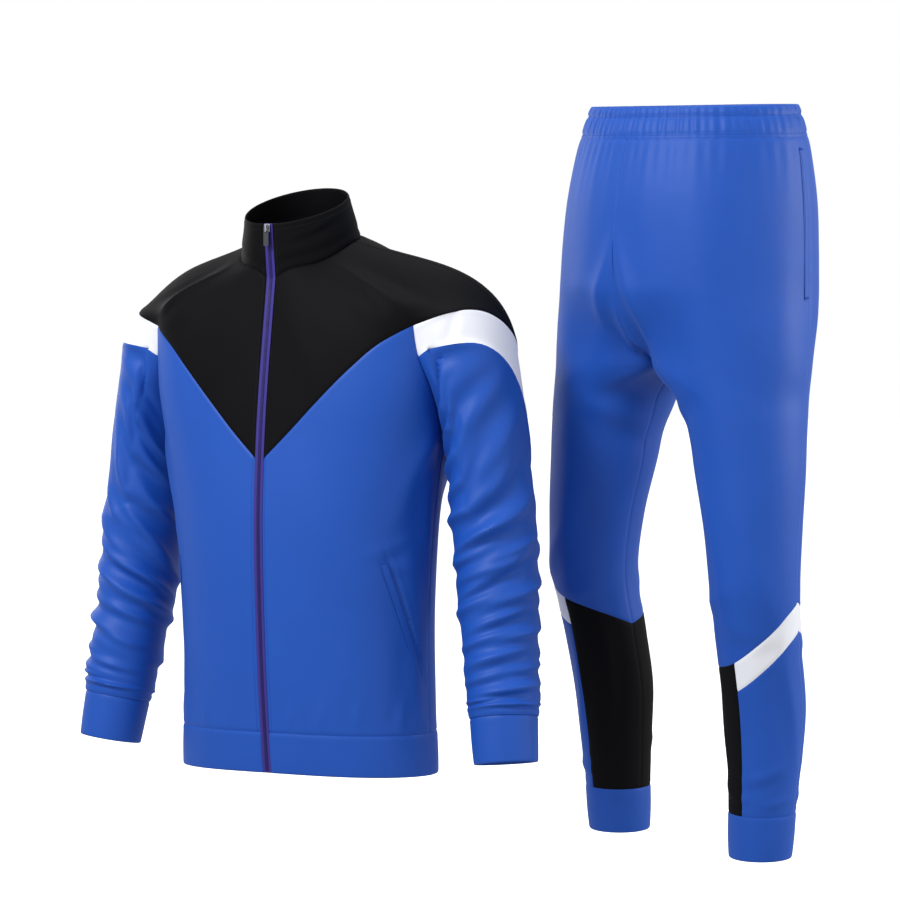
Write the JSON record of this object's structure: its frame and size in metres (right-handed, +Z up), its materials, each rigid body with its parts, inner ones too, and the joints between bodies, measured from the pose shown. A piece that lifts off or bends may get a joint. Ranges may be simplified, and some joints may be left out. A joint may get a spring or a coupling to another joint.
{
  "type": "tracksuit",
  "caption": "Zipped stand-collar jacket with a black yoke and cuffed trousers with knee stripes, filled out as worn and hollow inside.",
  "frame": {"origin": "centre of the jacket's neck opening, where the wearer's neck holds it", "axes": "+Z up; the jacket faces -Y and its left sleeve is at +X; the trousers hang at +X and are turned 20 degrees further"},
  "size_m": [0.98, 0.5069, 0.9998],
  "materials": {
    "royal_knit": "smooth polyester tricot, faint sheen",
    "black_knit": "smooth polyester tricot, faint sheen",
    "white_knit": "smooth polyester tricot",
    "indigo_tape": "woven zip tape with moulded teeth",
    "bright_metal": "polished",
    "dark_metal": "dark enamel"
  },
  "bodies": {
    "garment": {"ankle_cuff_left": "royal_knit", "ankle_cuff_right": "royal_knit", "back": "royal_knit", "calf_back_left": "black_knit", "calf_back_right": "black_knit", "calf_front_left": "black_knit", "calf_front_right": "black_knit", "collar": "black_knit", "cuff_left": "royal_knit", "cuff_right": "royal_knit", "front_left": "royal_knit", "front_right": "royal_knit", "hem_band": "royal_knit", "knee_stripe_back_left": "white_knit", "knee_stripe_back_right": "white_knit", "knee_stripe_front_left": "white_knit", "knee_stripe_front_right": "white_knit", "leg_back_left": "royal_knit", "leg_back_right": "royal_knit", "leg_front_left": "royal_knit", "leg_front_right": "royal_knit", "pocket_edge_left": "royal_knit", "pocket_edge_right": "royal_knit", "pocket_welt_left": "royal_knit", "pocket_welt_right": "royal_knit", "shin_back_left": "royal_knit", "shin_back_right": "royal_knit", "shin_front_left": "royal_knit", "shin_front_right": "royal_knit", "sleeve_band_left": "white_knit", "sleeve_band_right": "white_knit", "sleeve_left": "royal_knit", "sleeve_right": "royal_knit", "waistband_back": "royal_knit", "waistband_front": "royal_knit", "yoke_back": "black_knit", "yoke_front_left": "black_knit", "yoke_front_right": "black_knit", "zip_chain": "indigo_tape", "zip_slider": "bright_metal", "zip_tape_left": "indigo_tape", "zip_tape_right": "indigo_tape"},
    "zip_pull": {"zip_pull": "dark_metal"}
  },
  "joints": [
    {"name": "zip_pull_hinge", "type": "hinge", "parent": "garment", "child": "zip_pull", "pos_m": [0, -0.11318, 0.0437], "axis": [-1, 0, 0], "range_deg": [0, 150]}
  ]
}
